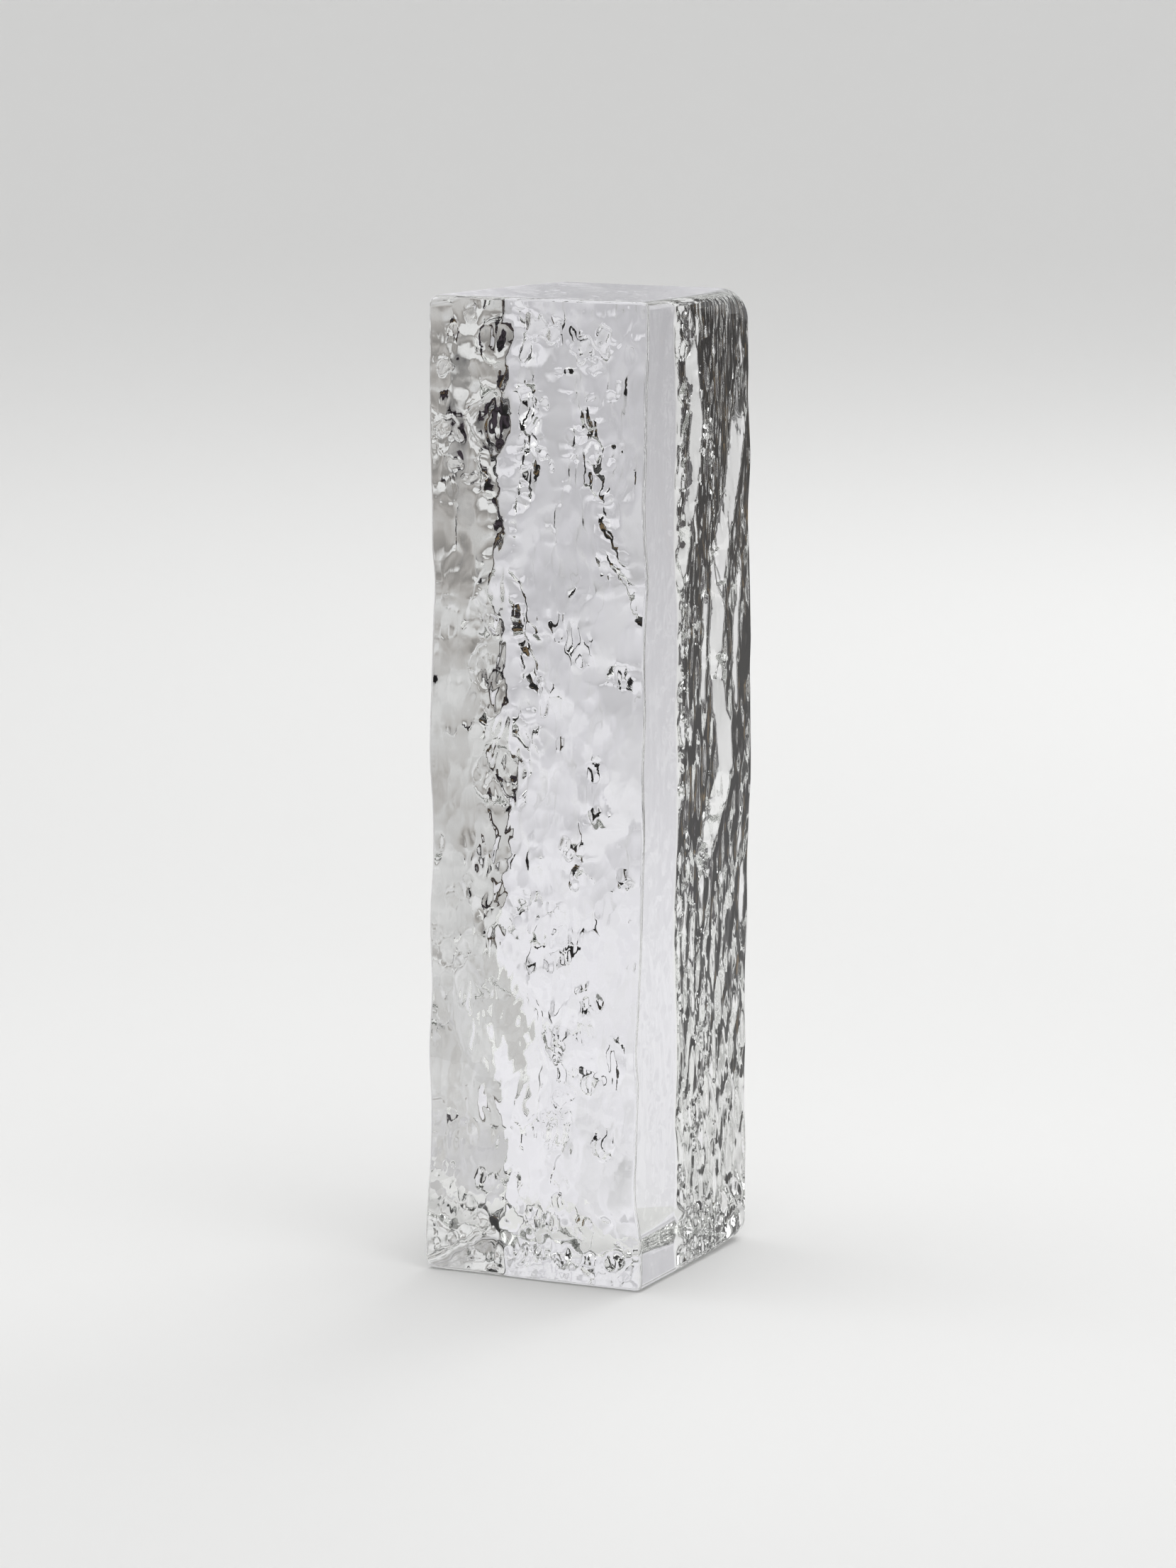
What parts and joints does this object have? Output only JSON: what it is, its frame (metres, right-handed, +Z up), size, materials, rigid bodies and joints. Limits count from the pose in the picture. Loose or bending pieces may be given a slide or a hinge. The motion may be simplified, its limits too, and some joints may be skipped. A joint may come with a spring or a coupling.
{
  "type": "glass block",
  "caption": "Tall square bar of solid clear cast glass, with rough wavy front and back faces and plain flat sides, for glass walls and screens.",
  "frame": {"origin": "middle of the block's box on the floor, under the standing block", "axes": "+Z up the block's length, +X across the two smooth sides, -Y out of the rough front face"},
  "size_m": [0.06, 0.0674, 0.25],
  "materials": {
    "clear_glass": "clear solid cast glass, very faint grey-green in its thickness; polished flat sides and top, mould-textured wavy front and back"
  },
  "bodies": {
    "root": {"glass_block": "clear_glass"}
  },
  "joints": []
}
